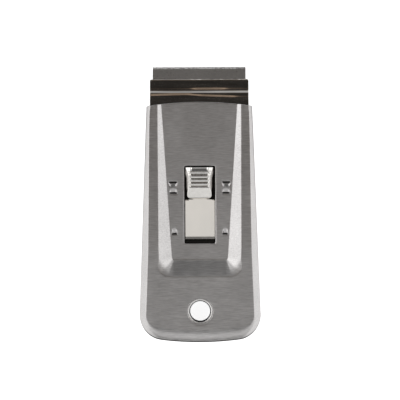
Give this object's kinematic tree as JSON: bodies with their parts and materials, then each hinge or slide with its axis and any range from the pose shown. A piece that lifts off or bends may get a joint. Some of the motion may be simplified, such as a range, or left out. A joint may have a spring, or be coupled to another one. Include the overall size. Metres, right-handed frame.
{
  "type": "razor blade scraper",
  "caption": "Flat pressed-steel scraper with a razor blade that slides out of the casing by a sprung thumb button, and a dished hang hole at the rear.",
  "frame": {"origin": "on the table, under the middle of the length and width, with the blade out", "axes": "+Y towards the blade's edge, +Z out of the button side, +X to the right seen from the button side"},
  "size_m": [0.0502, 0.1138, 0.0083],
  "materials": {
    "brushed_stainless": "stainless sheet, fine brushing across the length",
    "back_stainless": "stainless sheet, fine brushing",
    "eyelet_steel": "bright plated tube",
    "carrier_steel": "plain rolled sheet",
    "clamp_steel": "dark polished spring steel",
    "blade_steel": "ground carbon steel with a honed edge",
    "spine_steel": "folded mild steel",
    "rivet_steel": "plain set rivets",
    "spring_steel": "nickel-plated spring strip",
    "button_metal": "bright nickel plate, ribbed top"
  },
  "bodies": {
    "handle": {"front_shell": "brushed_stainless", "back_plate": "back_stainless", "hang_eyelet": "eyelet_steel"},
    "carrier": {"carrier_plate": "carrier_steel", "clamp_plate": "clamp_steel", "blade": "blade_steel", "blade_spine": "spine_steel", "jaw_rivets": "rivet_steel", "spring_foot": "spring_steel", "spring_rivets": "rivet_steel"},
    "button": {"button_leaf": "spring_steel", "thumb_button": "button_metal"}
  },
  "joints": [
    {"name": "blade_slide", "type": "slide", "parent": "handle", "child": "carrier", "axis": [0, 1, 0], "range_m": [-0.0174, 0]},
    {"name": "button_press", "type": "hinge", "parent": "carrier", "child": "button", "pos_m": [0, -0.013, 0.0032], "axis": [-1, 0, 0], "range_deg": [0, 2.6], "stiffness_Nm_per_rad": 0.5, "springref_deg": -2.86}
  ]
}
